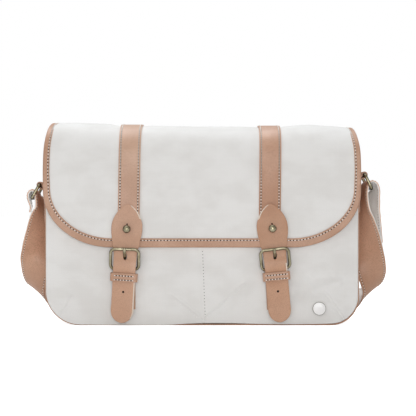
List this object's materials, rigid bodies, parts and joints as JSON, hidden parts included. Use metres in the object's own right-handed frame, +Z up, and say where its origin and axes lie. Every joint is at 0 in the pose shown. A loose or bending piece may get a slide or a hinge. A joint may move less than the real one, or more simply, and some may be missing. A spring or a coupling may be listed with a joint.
{
  "type": "shoulder bag",
  "caption": "Flap-over canvas shoulder bag with leather gusset, bound flap edge, buckled leather closing straps and a leather shoulder strap on brass side rings.",
  "frame": {"origin": "centre of the flat base, on the surface that the bag stands on", "axes": "+X along the bag's width, to the right as seen from the front; +Y from the front to the back; +Z up"},
  "size_m": [0.4766, 0.1508, 0.2583],
  "materials": {
    "canvas": "off-white cotton canvas, plain weave",
    "leather": "natural tan leather, fine grain",
    "strap_leather": "natural tan leather, cream inside",
    "antique_brass": "antique brass, darkened in the hollows",
    "badge_enamel": "plain white gloss"
  },
  "bodies": {
    "root": {"front_panel": "canvas", "back_panel": "canvas", "flap": "canvas", "gusset": "leather", "flap_binding": "leather", "flap_strap_left": "leather", "flap_strap_right": "leather", "closing_strap_left": "leather", "closing_strap_right": "leather", "strap_keeper_left": "leather", "strap_keeper_right": "leather", "buckle_chape_left": "leather", "buckle_chape_right": "leather", "ring_tab_left": "leather", "ring_tab_right": "leather", "shoulder_strap": "strap_leather", "stud_left": "antique_brass", "stud_right": "antique_brass", "buckle_frame_left": "antique_brass", "buckle_frame_right": "antique_brass", "buckle_prong_left": "antique_brass", "buckle_prong_right": "antique_brass", "side_ring_left": "antique_brass", "side_ring_right": "antique_brass", "round_badge": "badge_enamel"}
  },
  "joints": []
}
